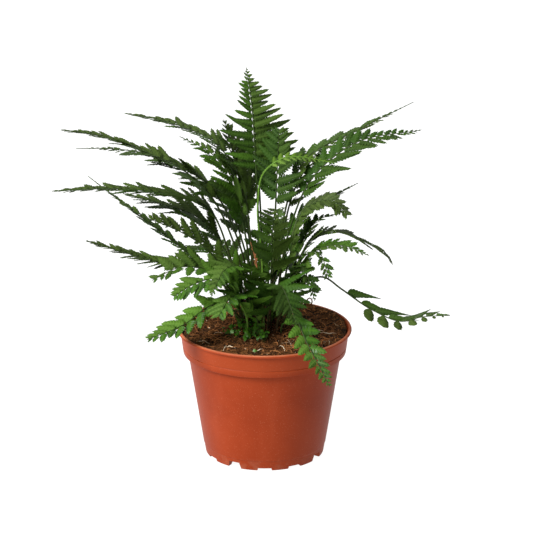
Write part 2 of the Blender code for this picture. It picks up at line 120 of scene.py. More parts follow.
# Soil
SOIL_EDGE_Z = 114.0
SOIL_MOUND = 5.0
SOIL_MOUND_RADIUS = 57.0
SOIL_SPREAD = COLLAR_RADIUS - WALL - 3
SOIL_HEAP = 2.6
SOIL_GAP = 0.35
SOIL_ROUGHNESS = (  # breadth, height and layer of its lumps and crumbs
    (11, 1.3, 3.7),
    (4.5, 0.9, 9.1),
    (1.9, 0.7, 1.3),
    (0.9, 0.35, 6.6),
)
SOIL_RINGS = 110
SOIL_SPOKES = 300
RING_SPREAD = 0.8
CRUMBS = 900
PALE_CRUMBS = 70
STEM_Z = 118.0
STEM_DEPTH = 9.0
STEM_STANDS = 4.0

# Fronds
STEM_RADIUS = 1.0
STEM_STEPS = 64
STEM_SIDES = 8
SCALES = 16
RIB_RADIUS = 0.8
TIP_RADIUS = 0.3
TIP_LEAN = 0.33
SHINGLE = -13.0
OFF_RIB = 0.9
HOOK = 0.10
DROOP = 0.08
LEAN_VARIES = 10.0
MOST_LEAN = 86.0
LIFT_VARIES = 9.0
DROOP_VARIES = 0.06
LENGTH_VARIES = 0.18
WIDEST = 0.24
FIRST_LENGTH = 0.72
TIP_CROWDING = 1.4
CLEARANCE = 0.8
STAGGER = 0.14
CUPPING = 0.10
TILT_VARIES = 6.0
TWIST_VARIES = 16.0
MOST_WIDTHS = {"eared": 0.4, "slender": 0.4, "round": 0.52}  # greatest half width by the length
TOOTH_SPACING = 2.9
MOST_TEETH = 11
HALF_THICKNESS = 0.17
RAGGED = 0.2
CRUMPLE = 0.08


class Frond(NamedTuple):
    """One frond. Its route starts at its foot and runs along its heading."""

    name: str  # it replaces the node frond_ and this
    look: str  # which leaf finish it has
    foot: tuple  # distance from the pot's axis and bearing
    heading: float  # bearing in which it grows
    route: tuple  # (distance from the foot, height) of the points that its rib passes through
    bare: float  # share of its length below the first leaflets
    reach: float  # longest leaflet
    pairs: int
    roll: float = 0.0  # degrees by which its left side, seen from the foot, is turned up
    lift: float = 8.0  # degrees by which the leaflets rise from the blade
    broad: tuple = (1.5, 1.5)  # width of the left and right leaflets against the room that they have
    least: float = 0.2  # least half width of its leaflets against their length
    cut: float = 0.54  # how far its teeth are cut towards the midrib
    taper: float = 0.75  # 1 for a blade that narrows evenly to its tip, and less for a blunter one
    sides: tuple = (1.0, 1.0)  # length of the left and of the right leaflets against the reach
    leans: tuple = (72.0, 72.0)  # degrees between the rib and the first left and right leaflets
    forms: tuple = ("eared", "eared")  # outline of the left and right leaflets
    missing: tuple = (0, 0)  # how many of the left and right leaflets are missing at the crown's end


FRONDS = (
    Frond(
        "top", "mid", (4, 115), 115, ((8, 200), (15, 264), (24, 316), (34, 343)), 0.62, 42, 18,
        broad=(1.4, 1.6), least=0.14, cut=0.3, taper=0.95, sides=(0.8, 0.95), leans=(82, 108)
    ),
    Frond(
        "top_right", "deep", (8, 45), 60, ((6, 190), (9, 240), (12, 270), (14, 292)), 0.64, 30, 10,
        taper=0.5
    ),
    Frond("top_left", "dark", (9, 150), 145, ((8, 200), (18, 248), (27, 278), (34, 299)), 0.58, 34, 11),
    Frond(
        "high_right", "deep", (12, 5), 10, ((10, 205), (30, 251), (66, 280), (127, 290)), 0.50, 29, 18,
        roll=30, sides=(0.65, 1.0), leans=(55, 50)
    ),
    Frond(
        "high_back_right", "dark", (9, 30), 27, ((8, 206), (30, 263), (84, 285), (140, 304)), 0.50, 20,
        19, taper=1.0, leans=(40, 45)
    ),
    Frond(
        "high_left", "dark", (12, 178), 175,
        ((14, 203), (38, 247), (80, 269), (122, 285), (146, 290), (166, 292)), 0.46, 30, 26, roll=5,
        taper=0.6, sides=(1.1, 0.9), leans=(60, 60)
    ),
    Frond(
        "high_front_left", "dark", (15, 196), 188,
        ((11, 190), (38, 246), (76, 275), (112, 284), (148, 286)), 0.46, 33, 21, roll=-2, taper=1.05,
        sides=(1.2, 0.7), leans=(65, 60)
    ),
    Frond(
        "high_back_left", "dark", (9, 165), 157, ((5, 205), (15, 254), (38, 280), (76, 293), (125, 298)),
        0.46, 23, 22, roll=6, taper=0.55, leans=(55, 55)
    ),
    Frond(
        "inner_left", "mid", (12, 160), 163, ((7, 205), (18, 250), (37, 271), (66, 284)), 0.48, 30, 14,
        roll=-25, taper=1.0, sides=(1.2, 0.8), leans=(58, 60)
    ),
    Frond(
        "mid_left", "dark", (18, 182), 181, ((12, 180), (34, 228), (74, 240), (116, 244), (167, 242)),
        0.40, 32, 26, roll=4, taper=0.65, sides=(1.1, 0.9), leans=(60, 60)
    ),
    Frond(
        "mid_back_left", "dark", (17, 167), 166, ((13, 172), (42, 212), (78, 223), (112, 230)), 0.45, 34,
        17, lift=0, leans=(45, 50)
    ),
    Frond(
        "slant_left", "mid", (21, 170), 163, ((15, 150), (38, 170), (76, 197), (108, 218), (143, 242)),
        0.36, 17, 20, roll=10, leans=(50, 55)
    ),
    Frond(
        "low_left", "pale", (21, 192), 191, ((14, 155), (41, 178), (75, 183), (104, 193), (136, 205)),
        0.40, 24, 20, roll=-4, lift=6, taper=0.6, leans=(55, 60)
    ),
    Frond(
        "front_left", "dark", (17, 214), 212, ((16, 160), (44, 200), (70, 219), (100, 235)), 0.44, 22, 8,
        roll=-50, taper=0.4, sides=(0.3, 1.0), leans=(60, 60)
    ),
    Frond(
        "low_front_left", "mid", (22, 208), 206, ((12, 155), (32, 176), (60, 183), (86, 175)), 0.18, 28,
        10, roll=-20, broad=(1.2, 1.3), cut=0.4, taper=0.4, sides=(0.72, 0.95)
    ),
    Frond(
        "curled_left", "bright", (21, 226), 220, ((9, 148), (22, 167), (40, 174), (62, 173), (82, 167)),
        0.14, 31, 14, roll=-25, cut=0.3, taper=0.5, leans=(58, 62)
    ),
    Frond(
        "rim_left", "bright", (25, 216), 215, ((9, 138), (28, 147), (61, 135), (98, 129)), 0.30, 21, 9,
        roll=-10, broad=(1.6, 1.6), least=0.27, cut=0.34, taper=0.45, leans=(62, 62)
    ),
    Frond(
        "arched_right", "pale", (17, 356), 355,
        ((9, 168), (25, 198), (40, 206), (67, 199), (87, 189), (95, 179)), 0.22, 27, 22, roll=-4, lift=0,
        taper=0.5, sides=(0.8, 1.2), leans=(58, 58)
    ),
    Frond(
        "bent_right", "pale", (14, 338), 335, ((9, 180), (27, 232), (50, 240), (64, 229)), 0.44, 17, 17,
        roll=30, lift=-6, broad=(2.2, 2.2), taper=0.3
    ),
    Frond(
        "far_right", "mid", (14, 38), 36, ((9, 180), (30, 213), (58, 222), (90, 231)), 0.48, 20, 16,
        roll=-8, taper=0.9, leans=(45, 55)
    ),
    Frond(
        "small_right", "mid", (20, 330), 331, ((7, 160), (28, 193), (54, 203), (82, 198)), 0.20, 26, 16,
        roll=12
    ),
    Frond(
        "hanging_right", "mid", (24, 327), 318, ((7, 160), (22, 192), (35, 197), (47, 176)), 0.32, 13, 12,
        roll=32, taper=0.3
    ),
    Frond(
        "low_right", "dark", (22, 352), 350,
        ((10, 157), (30, 165), (46, 155), (74, 137), (101, 128), (117, 133), (142, 136)), 0.45, 38, 9,
        roll=40, broad=(0.5, 1.7), cut=0.12, least=0.08, sides=(1.0, 0.36), leans=(24, 100),
        forms=("slender", "round"), missing=(0, 2)
    ),
    Frond(
        "rim_front", "bright", (24, 297), 298, ((7, 139), (20, 147), (56, 124), (94, 99)), 0.44, 15, 10,
        roll=5, cut=0.4, taper=0.5
    ),
    Frond(
        "front", "bright", (21, 250), 236, ((7, 142), (20, 158), (38, 161), (58, 149)), 0.26, 27, 9,
        least=0.24, cut=0.34, taper=0.4
    ),
    Frond(
        "front_middle", "deep", (23, 276), 300, ((4, 146), (12, 165), (24, 168), (38, 156), (50, 141)),
        0.26, 36, 15, cut=0.6
    ),
    Frond(
        "front_right", "deep", (23, 314), 309, ((6, 150), (14, 176), (24, 184), (34, 175), (43, 157)),
        0.24, 31, 13, roll=10, cut=0.6, sides=(1.0, 0.6)
    ),
    Frond(
        "over_front_left", "mid", (15, 240), 238, ((12, 160), (28, 183), (50, 187), (72, 169)), 0.20, 30,
        16, roll=-6
    ),
    Frond("over_front", "dark", (14, 290), 277, ((9, 180), (20, 222), (40, 240), (64, 235)), 0.20, 28, 17),
    Frond(
        "young", "young", (25, 268), 2, ((-2, 195), (-5, 236), (1, 266), (14, 276), (62, 273)), 0.74, 8,
        13, roll=30, least=0.1
    ),
    Frond(
        "back_right", "dark", (13, 60), 50, ((12, 184), (34, 236), (58, 256), (80, 266)), 0.60, 24, 12,
        roll=-10, sides=(0.5, 1.0)
    ),
    Frond("back", "dark", (12, 95), 98, ((12, 189), (34, 243), (62, 263), (92, 265)), 0.68, 26, 13),
    Frond(
        "back_left", "dark", (15, 128), 132, ((12, 179), (36, 217), (72, 233), (104, 227)), 0.46, 27, 13,
        roll=10
    ),
    Frond("low_back", "mid", (21, 84), 82, ((9, 150), (22, 182), (50, 192), (88, 174)), 0.28, 26, 14),
    Frond(
        "low_back_left", "mid", (22, 132), 130, ((9, 148), (28, 170), (70, 168), (108, 148)), 0.30, 28, 15
    ),
    Frond("low_back_right", "mid", (22, 42), 15, ((8, 156), (18, 190), (32, 208), (50, 212)), 0.34, 24, 12),
    Frond(
        "withered", "withered", (10, 255), 195, ((2, 150), (4, 172), (7, 188), (10, 198)), 0.72, 8, 6,
        broad=(2.0, 2.0), least=0.4, cut=0.3
    ),
)


class Wire:
    """An output socket of a finish. Arithmetic on it adds Math nodes."""

    def __init__(self, finish, socket):
        self.finish, self.socket = finish, socket

    def maths(self, operation, a, b):
        return self.finish.node("ShaderNodeMath", {"operation": operation}, {0: a, 1: b})

    def __add__(self, other):
        return self.maths("ADD", self, other)

    def __sub__(self, other):
        return self.maths("SUBTRACT", self, other)

    def __rsub__(self, other):
        return self.maths("SUBTRACT", other, self)

    def __mul__(self, other):
        return self.maths("MULTIPLY", self, other)

    __radd__, __rmul__ = __add__, __mul__

    def rise(self, start, end):
        """0 below start, 1 above end, and smooth between them."""
        settings = {"interpolation_type": "SMOOTHSTEP"}
        sockets = {"Value": self, "From Min": start, "From Max": end}
        return self.finish.node("ShaderNodeMapRange", settings, sockets)

    def part(self, axis):
        """One component of a vector."""
        return self.finish.node("ShaderNodeSeparateXYZ", {}, {0: self}, axis)


class Finish:
    """A material under way. node() adds each of its nodes."""

    def __init__(self, name, colour, roughness):
        self.material = bpy.data.materials.new(name)
        self.material.use_nodes = True
        self.material.diffuse_color = (*colour, 1.0)
        self.tree = self.material.node_tree
        self.shader = self.tree.nodes["Principled BSDF"]
        self.set("Roughness", roughness)

    def set(self, socket, value):
        self.feed(self.shader.inputs[socket], value)

    def feed(self, socket, value):
        if isinstance(value, Wire):
            self.tree.links.new(value.socket, socket)
        elif socket.type == "RGBA":
            socket.default_value = (*value, 1.0)
        else:
            socket.default_value = value

    def node(self, kind, settings, sockets, output=0):
        made = self.tree.nodes.new(kind)
        for name, value in settings.items():
            setattr(made, name, value)
        for key, value in sockets.items():
            self.feed(made.inputs[key], value)
        return Wire(self, made.outputs[output])

    def mix(self, share, a, b):
        return self.node("ShaderNodeMix", {"data_type": "RGBA"}, {0: share, 6: a, 7: b}, 2)

    def place(self, stretch=(1, 1, 1)):
        """The point on the object in metres, stretched along each axis."""
        here = self.node("ShaderNodeTexCoord", {}, {}, "Object")
        return self.node("ShaderNodeVectorMath", {"operation": "MULTIPLY"}, {0: here, 1: stretch})

    def noise(self, scale, detail, stretch=(1, 1, 1)):
        return self.node(
            "ShaderNodeTexNoise", {}, {"Vector": self.place(stretch), "Scale": scale, "Detail": detail}
        )

    def attribute(self, name):
        return self.node("ShaderNodeAttribute", {"attribute_name": name}, {}, "Vector")

    def relief(self, height, depth, strength=1.0):
        """Bump of that depth in metres."""
        sockets = {"Strength": strength, "Distance": depth, "Height": height}
        self.set("Normal", self.node("ShaderNodeBump", {}, sockets))


def terracotta_plastic():
    """Moulded plastic with a fine grain, faint flow marks, dust near the ground, a lighter band from the
    collar's foot up, and a painted highlight mixed with wear along the top of the lip.
    """
    finish = Finish("terracotta plastic", (0.38, 0.08, 0.034), 0.45)
    cloud = finish.noise(22, 3)
    fine = finish.noise(900, 2)
    streak = finish.noise(60, 2, (1, 1, 0.08))
    colour = finish.mix(cloud.rise(0.3, 0.7), (0.222, 0.027, 0.005), (0.264, 0.035, 0.0075))
    colour = finish.mix(0.35 * streak.rise(0.5, 0.8), colour, (0.30, 0.047, 0.014))
    speck = finish.noise(1500, 0).rise(0.72, 0.8)
    colour = finish.mix(0.25 * speck, colour, (0.52, 0.22, 0.13))
    height = finish.place().part(2)
    low = 1 - height.rise(0.0, 0.014)
    dust = low * finish.noise(160, 3).rise(0.42, 0.7)
    colour = finish.mix(0.35 * dust, colour, (0.30, 0.12, 0.07))
    # The colour turns lighter and more orange from the collar's foot up to the lip.
    collar = height.rise(MM * COLLAR_FOOT_Z, MM * GROOVE_Z)
    colour = finish.mix(0.30 * collar, colour, (0.35, 0.062, 0.018))
    # Painted highlight along the top of the lip, broken up by noise like wear: a pale colour where light
    # from above would catch it.
    wear_and_painted_highlight = height.rise(MM * (POT_HEIGHT - LIP_ROUND), MM * (POT_HEIGHT - 0.3)) * finish.noise(40, 3)
    colour = finish.mix(0.8 * wear_and_painted_highlight, colour, (0.62, 0.24, 0.12))
    finish.set("Base Color", colour)
    finish.set("Roughness", 0.36 + 0.12 * cloud + 0.10 * fine + 0.2 * dust)
    finish.set("Specular IOR Level", 0.09)
    finish.relief(fine + 0.6 * streak, 0.00006, 0.5)
    return finish.material


def peat():
    """Dark damp peat with lighter crumbs and red-brown fibres in it."""
    finish = Finish("peat", (0.045, 0.022, 0.014), 0.95)
    clump = finish.noise(120, 4)
    grain = finish.noise(900, 3)
    thread = finish.noise(420, 2, (1, 0.2, 1))
    other_thread = finish.noise(460, 2, (0.2, 1, 1))
    colour = finish.mix(clump.rise(0.38, 0.64), (0.007, 0.0035, 0.0015), (0.095, 0.038, 0.011))
    colour = finish.mix(0.8 * grain.rise(0.52, 0.70), colour, (0.17, 0.068, 0.022))
    colour = finish.mix(0.7 * thread.rise(0.60, 0.68), colour, (0.27, 0.115, 0.04))
    colour = finish.mix(0.6 * other_thread.rise(0.61, 0.69), colour, (0.23, 0.09, 0.03))
    finish.set("Base Color", colour)
    finish.set("Roughness", 0.8 + 0.2 * grain)
    finish.set("Specular IOR Level", 0.08)
    finish.relief(grain + 0.7 * thread + 0.7 * other_thread, 0.0009)
    return finish.material


def plain_bits(name, dark, light, roughness):
    """A finish for small bits, mottled between two colours along their length and from one to the next."""
    finish = Finish(name, light, roughness)
    tone = finish.attribute("blade").part(2)
    mottle = finish.noise(500, 3)
    finish.set("Base Color", finish.mix((0.6 * tone + 0.6 * mottle).rise(0.25, 0.95), dark, light))
    finish.set("Specular IOR Level", 0.12)
    finish.relief(mottle, 0.0003)
    return finish.material


def leaf(name, deep, light, vein, roughness, gloss=0.15):
    """One side of the leaflets. They differ in tone, their veins and midribs show as paler lines, and
    those near the crown get painted light, a lighter green that stands in for light in the shaded middle."""
    finish = Finish(name, light, roughness)
    blade, growth = finish.attribute("blade"), finish.attribute("growth")
    blotch, fine = finish.noise(55, 3), finish.noise(700, 2)
    tone = 0.75 * blade.part(2) + 0.6 * blotch + 0.25 * growth.part(1) - 0.32
    colour = finish.mix(tone.rise(0.0, 1.0), deep, light)
    line = 1 - blade.part(0).rise(0.02, 0.22)
    midrib = 1 - blade.part(1).rise(0.01, 0.09)
    colour = finish.mix(0.28 * line, colour, vein)
    colour = finish.mix(0.55 * midrib, colour, vein)
    edge = blade.part(0).rise(0.86, 1.0)
    colour = finish.mix(0.25 * edge, colour, vein)
    colour = finish.mix(0.18 * fine.rise(0.55, 0.75), colour, deep)
    # Painted light: leaflets near the frond's foot, in the plant's shaded middle, are lightened towards a
    # greener colour.
    painted_light_near_crown = 1 - growth.part(0).rise(0.40, 0.85)
    colour = finish.mix(0.5 * painted_light_near_crown, colour, (light[0] * 1.1, light[1] * 1.28, light[2] * 0.8))
    finish.set("Base Color", colour)
    finish.set("Roughness", roughness + 0.16 * blotch - 0.05)
    finish.set("Specular IOR Level", gloss)
    finish.relief(0.8 * blade.part(0).rise(0.0, 0.35) + 0.25 * fine, 0.00025, 0.8)
    return finish.material


def stalk(name, foot_colour, upper_colour, roughness):
    """Stems and ribs, brown at the foot and greener above, with fine lengthwise grooves."""
    finish = Finish(name, upper_colour, roughness)
    along = finish.attribute("growth").part(0)
    mottle = finish.noise(260, 3)
    colour = finish.mix((along + 0.25 * mottle).rise(0.10, 0.55), foot_colour, upper_colour)
    groove = finish.noise(1400, 1, (1, 1, 0.06))
    colour = finish.mix(0.3 * groove.rise(0.5, 0.7), colour, foot_colour)
    finish.set("Base Color", colour)
    finish.set("Specular IOR Level", 0.12)
    finish.relief(groove + 0.5 * mottle, 0.00015, 0.6)
    return finish.material


# Deep, light and vein colours, roughness and gloss of the leaves.
LEAVES = {
    "dark leaf": ((0.018, 0.038, 0.003), (0.034, 0.077, 0.006), (0.056, 0.1, 0.017), 0.5, 0.24),
    "dark leaf underside": ((0.022, 0.04, 0.006), (0.05, 0.086, 0.012), (0.07, 0.11, 0.02), 0.7),
    "deep green leaf": ((0.011, 0.032, 0.002), (0.025, 0.07, 0.004), (0.042, 0.09, 0.01), 0.6),
    "deep green underside": ((0.014, 0.036, 0.003), (0.034, 0.074, 0.007), (0.05, 0.09, 0.015), 0.7),
    "green leaf": ((0.018, 0.046, 0.003), (0.042, 0.106, 0.006), (0.066, 0.14, 0.016), 0.58),
    "green leaf underside": ((0.026, 0.056, 0.006), (0.058, 0.11, 0.014), (0.08, 0.14, 0.022), 0.7),
    "bright leaf": ((0.015, 0.05, 0.002), (0.046, 0.132, 0.006), (0.075, 0.17, 0.016), 0.4, 0.35),
    "bright leaf underside": ((0.036, 0.085, 0.008), (0.078, 0.165, 0.018), (0.11, 0.2, 0.03), 0.65),
    "grey-green leaf": ((0.021, 0.038, 0.006), (0.048, 0.08, 0.014), (0.077, 0.112, 0.026), 0.52, 0.28),
    "young leaf": ((0.035, 0.08, 0.004), (0.085, 0.165, 0.01), (0.13, 0.22, 0.025), 0.55),
    "young leaf underside": ((0.06, 0.12, 0.012), (0.12, 0.21, 0.03), (0.17, 0.27, 0.05), 0.65),
    "withered leaf": ((0.12, 0.045, 0.018), (0.42, 0.16, 0.06), (0.3, 0.12, 0.05), 0.75),
}
# Colours at the foot and above, and roughness, of the stems.
STEMS = {
    "dark stem": ((0.045, 0.026, 0.012), (0.03, 0.054, 0.012), 0.5),
    "green stem": ((0.05, 0.03, 0.014), (0.036, 0.066, 0.014), 0.5),
    "young stem": ((0.07, 0.11, 0.02), (0.09, 0.185, 0.02), 0.45),
    "withered stem": ((0.12, 0.05, 0.02), (0.32, 0.13, 0.05), 0.7),
}
# Upper side, underside and stem of each look.
LOOKS = {
    "dark": ("dark leaf", "dark leaf underside", "dark stem"),
    "deep": ("deep green leaf", "deep green underside", "dark stem"),
    "mid": ("green leaf", "green leaf underside", "green stem"),
    "bright": ("bright leaf", "bright leaf underside", "dark stem"),
    "pale": ("grey-green leaf", "dark leaf underside", "green stem"),
    "young": ("young leaf", "young leaf underside", "young stem"),
    "withered": ("withered leaf", "withered leaf", "withered stem"),
}


def frond_finishes():
    """The upper side, underside, stem and scales of each look."""
    made = {name: leaf(name, *values) for name, values in LEAVES.items()}
    made |= {name: stalk(name, *values) for name, values in STEMS.items()}
    scale = plain_bits("papery scale", (0.07, 0.028, 0.012), (0.26, 0.13, 0.06), 0.7)
    return {look: [*(made[name] for name in names), scale] for look, names in LOOKS.items()}


def polar(radius, degrees, z=0.0):
    turn = math.radians(degrees)
    return Vector((radius * math.cos(turn), radius * math.sin(turn), z))


def around(draw, reach, z=0.0):
    """A place drawn within that reach of the axis."""
    return polar(draw.uniform(0, reach), draw.uniform(0, 360), z)


def leant(start, end, turn):
    """The direction at that angle, in radians, from one direction towards another square to it."""
    return start * math.cos(turn) + end * math.sin(turn)


def linked(name, data):
    """A new object with that data, in the scene."""
    made = bpy.data.objects.new(name, data)
    bpy.context.scene.collection.objects.link(made)
    return made


class Body:
    """Closed shells that make up one piece, with what their finishes need to know of each point."""

    def __init__(self):
        self.points, self.faces, self.slots = [], [], []
        self.blade, self.growth = [], []
        self.count = 0

    def add(self, points, faces, slots=0, blade=(0, 0, 0.5), growth=(0, 0, 0)):
        """blade is (distance from a vein, distance from the midrib, tone) and growth is
        (share along the frond, share along the leaflet, 0), for each point or for all."""
        points = np.asarray(points, float)
        self.points.append(points)
        self.faces += [tuple(i + self.count for i in face) for face in faces]
        self.slots += [slots] * len(faces) if isinstance(slots, int) else list(slots)
        self.blade.append(np.broadcast_to(np.asarray(blade, float), points.shape))
        self.growth.append(np.broadcast_to(np.asarray(growth, float), points.shape))
        self.count += len(points)

    def piece(self, name, finishes, sharp, *nodes, slot):
        """An object made of the shells, which replaces those nodes. Edges over sharp degrees stay sharp."""
        mesh = bpy.data.meshes.new(name)
        mesh.from_pydata((MM * np.concatenate(self.points)).tolist(), [], self.faces)
        for finish in finishes:
            mesh.materials.append(finish)
        mesh.polygons.foreach_set("material_index", self.slots)
        for key, rows in (("blade", self.blade), ("growth", self.growth)):
            made = mesh.attributes.new(key, "FLOAT_VECTOR", "POINT")
            made.data.foreach_set("vector", np.concatenate(rows).astype(np.float32).ravel())
        mesh.shade_smooth()
        mesh.set_sharp_from_angle(angle=math.radians(sharp))
        made = linked(name, mesh)
        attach(made, "root")
        if nodes:
            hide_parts(*nodes)
        return made


def walls(count, sides):
    """Faces between rings of points that follow one another, for that count of points in all."""
    faces = []
    for low in range(0, count - sides, sides):
        for i in range(sides):
            j = (i + 1) % sides
            faces.append((low + i, low + j, low + sides + j, low + sides + i))
    return faces


def cap(middle, ring, sides):
    """Triangles from a point to a ring of points, given by its number and that of the ring's first."""
    return [(middle, ring + i, ring + (i + 1) % sides) for i in range(sides)]


def flipped(faces):
    """The faces turned inside out, each with the same first point."""
    return [(face[0], *face[:0:-1]) for face in faces]


def closed(points, first, last, sides):
    """Points and faces of rings that close on a first and a last point."""
    faces = walls(len(points), sides) + flipped(cap(len(points), 0, sides))
    faces += cap(len(points) + 1, len(points) - sides, sides)
    return [*points, first, last], faces


def tube(places, radii, sides):
    """Points and faces of a round tube along some places, flat at its foot and pointed at its tip."""
    places = [Vector(p) for p in places]
    points = []
    side = None
    for i, place in enumerate(places):
        ahead = (places[min(i + 1, len(places) - 1)] - places[max(i - 1, 0)]).normalized()
        if side is None:
            side = ahead.orthogonal()
        side = (side - ahead * side.dot(ahead)).normalized()
        other = ahead.cross(side)
        for j in range(sides):
            points.append(place + leant(side, other, 2 * math.pi * j / sides) * radii[i])
    foot = tuple(range(sides))[::-1]
    faces = [*walls(len(points), sides), foot, *cap(len(points), len(points) - sides, sides)]
    points.append(places[-1] + (places[-1] - places[-2]).normalized() * radii[-1])
    return points, faces


# Pot


def softened(profile, radius):
    """The profile with each of its corners rounded."""
    made = [profile[0]]
    for before, corner, after in zip(profile, profile[1:], profile[2:]):
        before, corner, after = Vector(before), Vector(corner), Vector(after)
        back, ahead = before - corner, after - corner
        reach = min(radius, 0.45 * back.length, 0.45 * ahead.length)
        start, end = corner + back.normalized() * reach, corner + ahead.normalized() * reach
        for i in range(CORNER_STEPS + 1):
            t = i / CORNER_STEPS
            made.append(tuple(start * (1 - t) ** 2 + corner * (2 * t * (1 - t)) + end * t * t))
    return [*made, profile[-1]]


def turned(profile, sides):
    """Points and faces of a closed profile turned about the axis. Its ends lie on the axis."""
    (_, first_z), *rings, (_, last_z) = profile
    points = [polar(r, 360 * i / sides, z) for r, z in rings for i in range(sides)]
    return closed(points, Vector((0, 0, first_z)), Vector((0, 0, last_z)), sides)


def pot_profile():
    slope = (COLLAR_RADIUS - COLLAR_FOOT_RADIUS) / (POT_HEIGHT - LIP_DEPTH - COLLAR_FOOT_Z)
    groove_radius = COLLAR_FOOT_RADIUS + slope * (GROOVE_Z - COLLAR_FOOT_Z)
    lip_z = POT_HEIGHT - LIP_DEPTH
    floor_z = FLOOR_UNDERSIDE_Z + WALL
    return [
        (0, FLOOR_UNDERSIDE_Z),
        (FOOT_RING_RADIUS, FLOOR_UNDERSIDE_Z),
        (FOOT_RING_RADIUS + FOOT_DRAFT, 0),
        (BASE_RADIUS, 0),
        (BASE_RADIUS + BASE_DRAFT, STEP_Z),
        (BASE_RADIUS + BASE_DRAFT + STEP, STEP_Z + STEP),
        (SHOULDER_RADIUS, COLLAR_FOOT_Z),
        (COLLAR_FOOT_RADIUS, COLLAR_FOOT_Z),
        (groove_radius, GROOVE_Z - GROOVE),
        (groove_radius - GROOVE, GROOVE_Z),
        (groove_radius + slope, GROOVE_Z + GROOVE),
        (COLLAR_RADIUS, lip_z),
        (LIP_RADIUS, lip_z + STEP),
        (LIP_RADIUS, POT_HEIGHT - LIP_ROUND),
        (LIP_RADIUS - LIP_ROUND, POT_HEIGHT),
        (LIP_RADIUS - LIP_WIDTH, POT_HEIGHT),
        (COLLAR_RADIUS - WALL, POT_HEIGHT - LIP_DEPTH - LIP_ROUND),
        (COLLAR_FOOT_RADIUS - WALL, COLLAR_FOOT_Z + WALL),
        (SHOULDER_RADIUS - WALL, COLLAR_FOOT_Z - LIP_ROUND),
        (FLOOR_RADIUS, floor_z),
        (0, floor_z),
    ]


def notch_cutter(bearing, depth, reach):
    """A wedge with sloping sides, standing across the foot ring."""
    along, across = polar(1, bearing), polar(1, bearing + 90)
    corners = []
    for distance in (reach, BASE_RADIUS + CUTTER_SPARE):
        for side, z in ((-1, -CUTTER_SPARE), (1, -CUTTER_SPARE), (1, depth), (-1, depth)):
            half = NOTCH_WIDTH / 2 - NOTCH_TAPER * z / DRAIN_DEPTH
            corners.append(MM * (along * distance + across * side * half + Vector((0, 0, z))))
    faces = [(3, 2, 1, 0), (4, 5, 6, 7), (1, 5, 4, 0), (2, 6, 5, 1), (3, 7, 6, 2), (0, 4, 7, 3)]
    mesh = bpy.data.meshes.new("notch")
    mesh.from_pydata(corners, [], faces)
    return bpy.data.objects.new("notch", mesh)


def make_pot():
    body = Body()
    body.add(*turned(softened(pot_profile(), CORNER_ROUND), TURNED_SIDES))
    made = body.piece("nursery_pot", [terracotta_plastic()], SHARP_CORNER, "pot", slot="terracotta_plastic")
    cutters = bpy.data.collections.new("notches")
    for i in range(NOTCH_COUNT):
        bearing = 360 * i / NOTCH_COUNT
        deep = bearing in DRAIN_BEARINGS
        shape = (DRAIN_DEPTH, DRAIN_REACH) if deep else (NOTCH_DEPTH, FOOT_RING_RADIUS - STEP)
        cutters.objects.link(notch_cutter(bearing, *shape))
    cut = made.modifiers.new("notches", "BOOLEAN")
    cut.operation = "DIFFERENCE"
    cut.solver = "EXACT"
    cut.operand_type = "COLLECTION"
    cut.collection = cutters
    graph = bpy.context.evaluated_depsgraph_get()
    mesh = bpy.data.meshes.new_from_object(made.evaluated_get(graph))
    made.modifiers.clear()
    made.data = mesh
    for cutter in list(cutters.objects):
        bpy.data.objects.remove(cutter)
    bpy.data.collections.remove(cutters)
    mesh.set_sharp_from_angle(angle=math.radians(SHARP_CORNER))


# Soil


def soil_height(x, y):
    """Height of the peat's surface: a mound with lumps and crumbs, heaped against the pot at the back."""
    radius = math.hypot(x, y)
    edge = min(1.0, max(0.0, (radius - SOIL_MOUND_RADIUS) / (SOIL_SPREAD - SOIL_MOUND_RADIUS)))
    heap = SOIL_HEAP * edge * min(1.0, max(0.0, 0.3 + 1.4 * y / SOIL_SPREAD))
    share = radius / SOIL_MOUND_RADIUS
    mound = SOIL_MOUND * max(0.0, 1 - share * share)
    lumps = sum(high * noise.noise((x / wide, y / wide, layer)) for wide, high, layer in SOIL_ROUGHNESS)
    return SOIL_EDGE_Z + mound + heap + lumps


def add_peat(body):
    """The mound, with the plain sides of the CAD's soil below its edge."""
    inner = COLLAR_RADIUS - WALL - SOIL_GAP
    low_z = FLOOR_UNDERSIDE_Z + WALL + SOIL_GAP
    points = []
    for ring in range(SOIL_RINGS):
        radius = inner * ((ring + 1) / SOIL_RINGS) ** RING_SPREAD
        for i in range(SOIL_SPOKES):
            place = polar(radius, 360 * (i + 0.5 * (ring % 2)) / SOIL_SPOKES)
            points.append((place.x, place.y, soil_height(place.x, place.y)))
    shoulder = (SHOULDER_RADIUS - WALL - SOIL_GAP, COLLAR_FOOT_Z - LIP_ROUND)
    for radius, z in (shoulder, (FLOOR_RADIUS - SOIL_GAP, low_z)):
        points += [tuple(polar(radius, 360 * (i + 0.5) / SOIL_SPOKES, z)) for i in range(SOIL_SPOKES)]
    points, faces = closed(points, (0, 0, soil_height(0, 0)), (0, 0, low_z), SOIL_SPOKES)
    body.add(points, flipped(faces))


